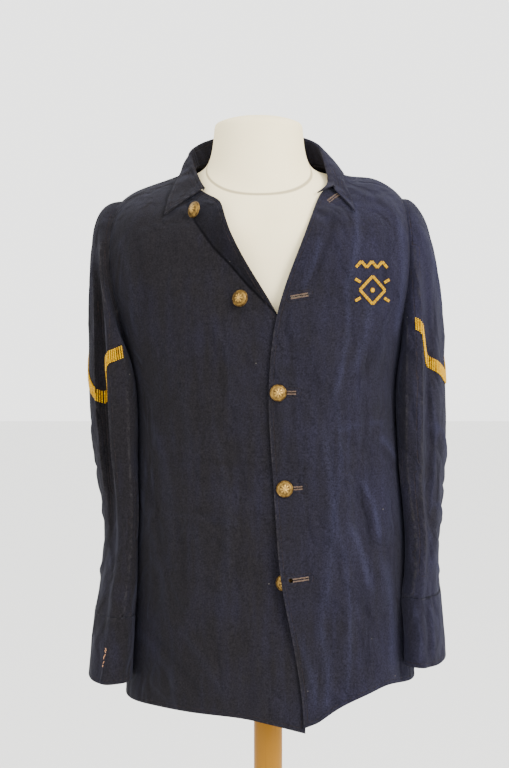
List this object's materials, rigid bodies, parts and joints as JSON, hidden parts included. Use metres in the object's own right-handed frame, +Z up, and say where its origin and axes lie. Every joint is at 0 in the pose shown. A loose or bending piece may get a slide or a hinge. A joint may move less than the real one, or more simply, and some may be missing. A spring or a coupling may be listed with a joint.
{
  "type": "beaded jacket on a limbless dress form",
  "caption": "Hip-length navy wool scout jacket with an open neck, domed brass buttons and beaded chevrons, worn by a limbless dress form on a round wooden stand.",
  "frame": {"origin": "centre of the stand base's underside, on the axis of the post", "axes": "+Z up; the jacket faces -Y; +X is the wearer's left side"},
  "size_m": [0.5016, 0.37, 1.474],
  "materials": {
    "wool": "matt navy twill wool, worn",
    "brass": "aged gilt brass, satin",
    "beads": "opaque yellow seed beads in lanes",
    "cover": "cream cotton cover, smooth",
    "wood": "honey varnish"
  },
  "bodies": {
    "root": {"front_right": "wool", "front_left": "wool", "back_right": "wool", "back_left": "wool", "sleeve_right_top": "wool", "sleeve_right_under": "wool", "sleeve_left_top": "wool", "sleeve_left_under": "wool", "cuff_right": "wool", "cuff_left": "wool", "collar": "wool", "button_1": "brass", "button_2": "brass", "button_3": "brass", "button_4": "brass", "button_5": "brass", "cuff_button_left": "brass", "chevron_right": "beads", "chevron_left": "beads", "dress_form": "cover", "stand_post": "wood", "stand_base": "wood"}
  },
  "joints": []
}
